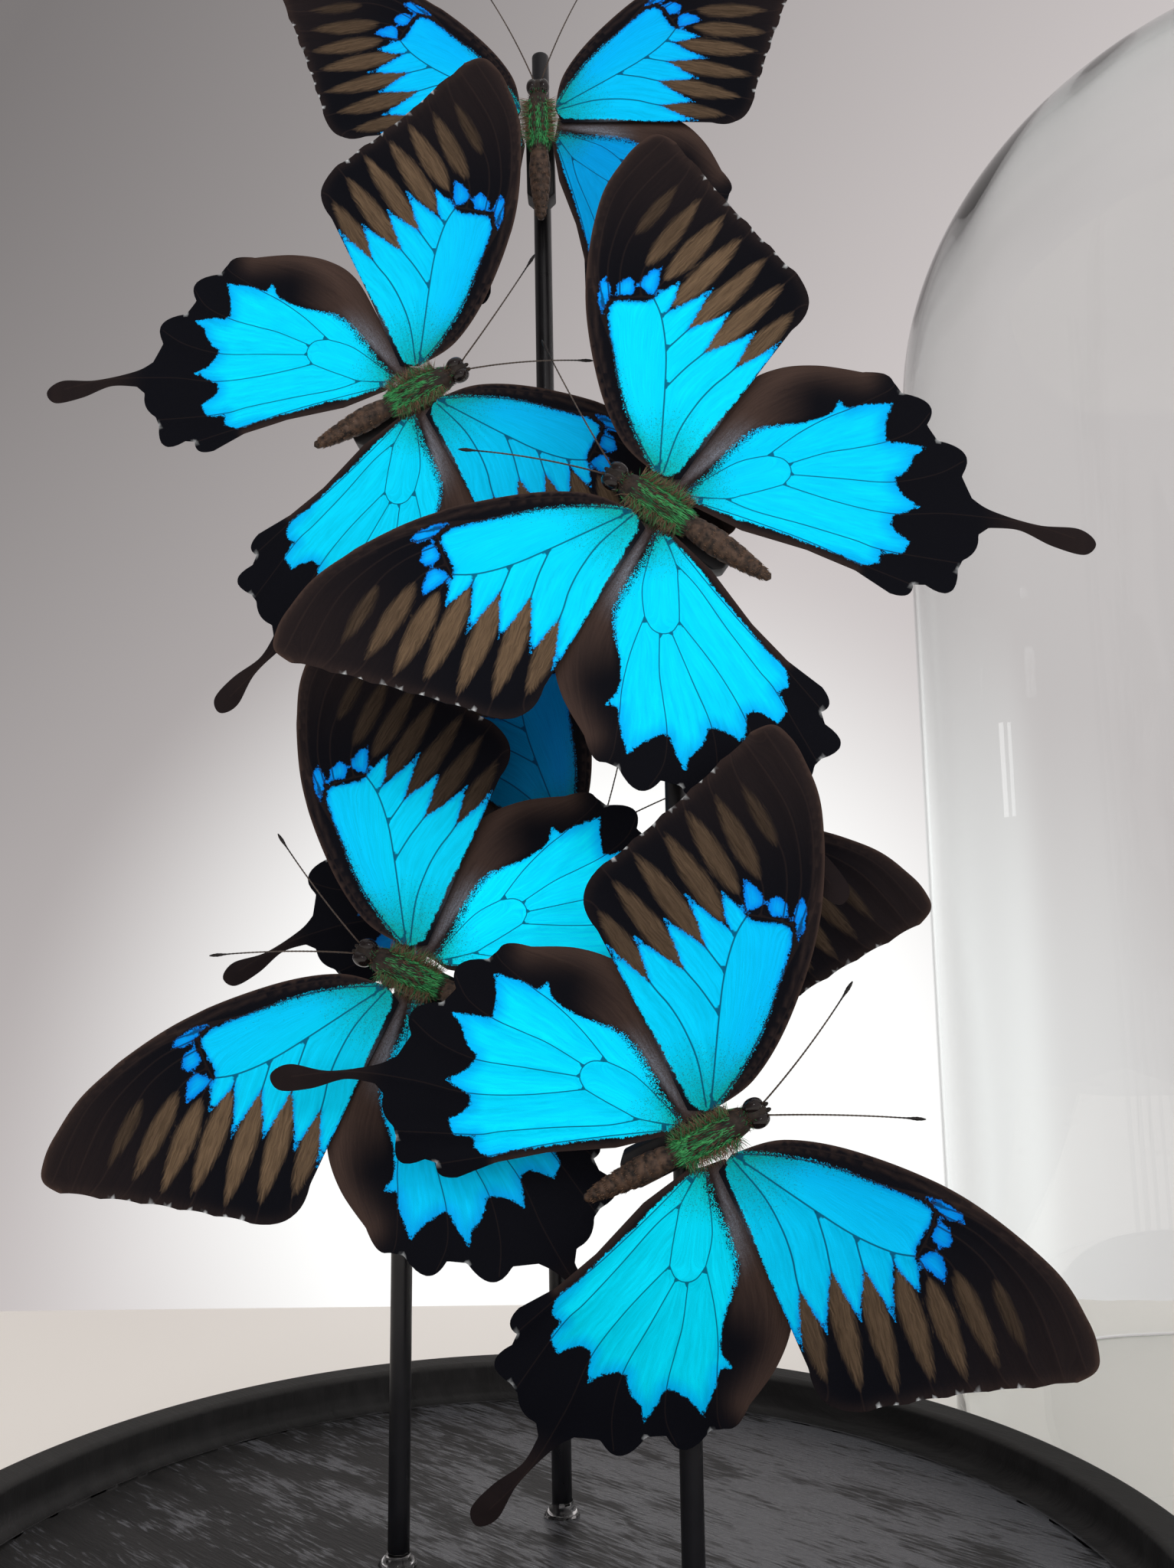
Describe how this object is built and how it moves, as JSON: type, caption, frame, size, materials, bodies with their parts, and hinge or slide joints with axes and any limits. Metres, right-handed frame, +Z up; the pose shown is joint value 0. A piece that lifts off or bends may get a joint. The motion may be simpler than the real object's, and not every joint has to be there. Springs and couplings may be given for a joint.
{
  "type": "mounted butterflies on a dome base with glass dome",
  "caption": "Blue swallowtail butterflies mounted on thin rods in a round black wooden base, with the lifted-off glass dome standing beside it.",
  "frame": {"origin": "centre of the base's underside, on the surface that the base and the dome stand on", "axes": "+Z up, the butterflies face -Y, +X to the right seen from the front; the dome stands at +X +Y"},
  "size_m": [0.4381, 0.3285, 0.388],
  "materials": {
    "stained_wood": "black stained, satin, streaky brushed grain",
    "black_metal": "satin black",
    "clear_glue": "clear, wet-looking bead",
    "black_plastic": "matt black",
    "insect_body": "dark hair with green scales",
    "insect_horn": "dark horn",
    "wing": "iridescent blue scales, black margins with brown streaks",
    "clear_glass": "thin blown glass, faint green at the edge"
  },
  "bodies": {
    "root": {"base": "stained_wood", "rod_a": "black_metal", "glue_a": "clear_glue", "rod_b": "black_metal", "glue_b": "clear_glue", "rod_c": "black_metal", "glue_c": "clear_glue", "body_1": "insect_body", "block_1": "black_plastic", "forewing_l_1": "wing", "hindwing_l_1": "wing", "antenna_l_1": "insect_horn", "forewing_r_1": "wing", "hindwing_r_1": "wing", "antenna_r_1": "insect_horn", "body_2": "insect_body", "block_2": "black_plastic", "forewing_l_2": "wing", "hindwing_l_2": "wing", "antenna_l_2": "insect_horn", "forewing_r_2": "wing", "hindwing_r_2": "wing", "antenna_r_2": "insect_horn", "body_3": "insect_body", "block_3": "black_plastic", "forewing_l_3": "wing", "hindwing_l_3": "wing", "antenna_l_3": "insect_horn", "forewing_r_3": "wing", "hindwing_r_3": "wing", "antenna_r_3": "insect_horn", "body_4": "insect_body", "block_4": "black_plastic", "forewing_l_4": "wing", "hindwing_l_4": "wing", "antenna_l_4": "insect_horn", "forewing_r_4": "wing", "hindwing_r_4": "wing", "antenna_r_4": "insect_horn", "body_5": "insect_body", "block_5": "black_plastic", "forewing_l_5": "wing", "hindwing_l_5": "wing", "antenna_l_5": "insect_horn", "forewing_r_5": "wing", "hindwing_r_5": "wing", "antenna_r_5": "insect_horn", "body_6": "insect_body", "block_6": "black_plastic", "forewing_l_6": "wing", "hindwing_l_6": "wing", "antenna_l_6": "insect_horn", "forewing_r_6": "wing", "hindwing_r_6": "wing", "antenna_r_6": "insect_horn", "dome": "clear_glass"}
  },
  "joints": []
}
